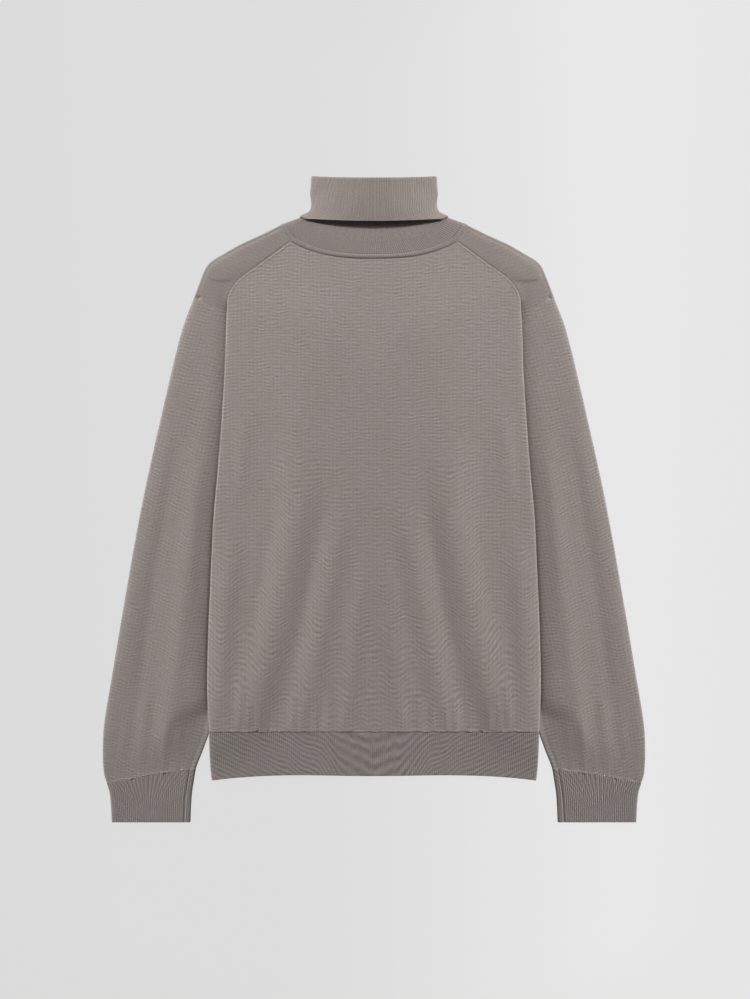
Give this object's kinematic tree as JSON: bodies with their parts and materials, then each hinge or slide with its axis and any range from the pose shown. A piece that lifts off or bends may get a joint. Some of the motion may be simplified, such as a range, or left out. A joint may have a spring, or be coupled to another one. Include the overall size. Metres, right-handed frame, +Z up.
{
  "type": "turtleneck sweater",
  "caption": "Fine-knit turtleneck sweater laid flat, with saddle shoulders, long sleeves, ribbed cuffs and hem, and a turned-down collar.",
  "frame": {"origin": "middle of the laid-out sweater, on the surface that it lies on", "axes": "+X to the viewer's right across the sweater, +Y from hem to collar, +Z up off the surface"},
  "size_m": [0.6668, 0.7938, 0.0127],
  "materials": {
    "jersey_knit": "matte fine knit, warm grey",
    "rib_knit": "matte ribbed knit, warm grey"
  },
  "bodies": {
    "root": {"front": "jersey_knit", "back": "jersey_knit", "sleeve_left": "jersey_knit", "sleeve_right": "jersey_knit", "saddle_left": "jersey_knit", "saddle_right": "jersey_knit", "neckband": "rib_knit", "collar": "rib_knit", "hem_front": "rib_knit", "hem_back": "rib_knit", "cuff_left": "rib_knit", "cuff_right": "rib_knit"}
  },
  "joints": []
}
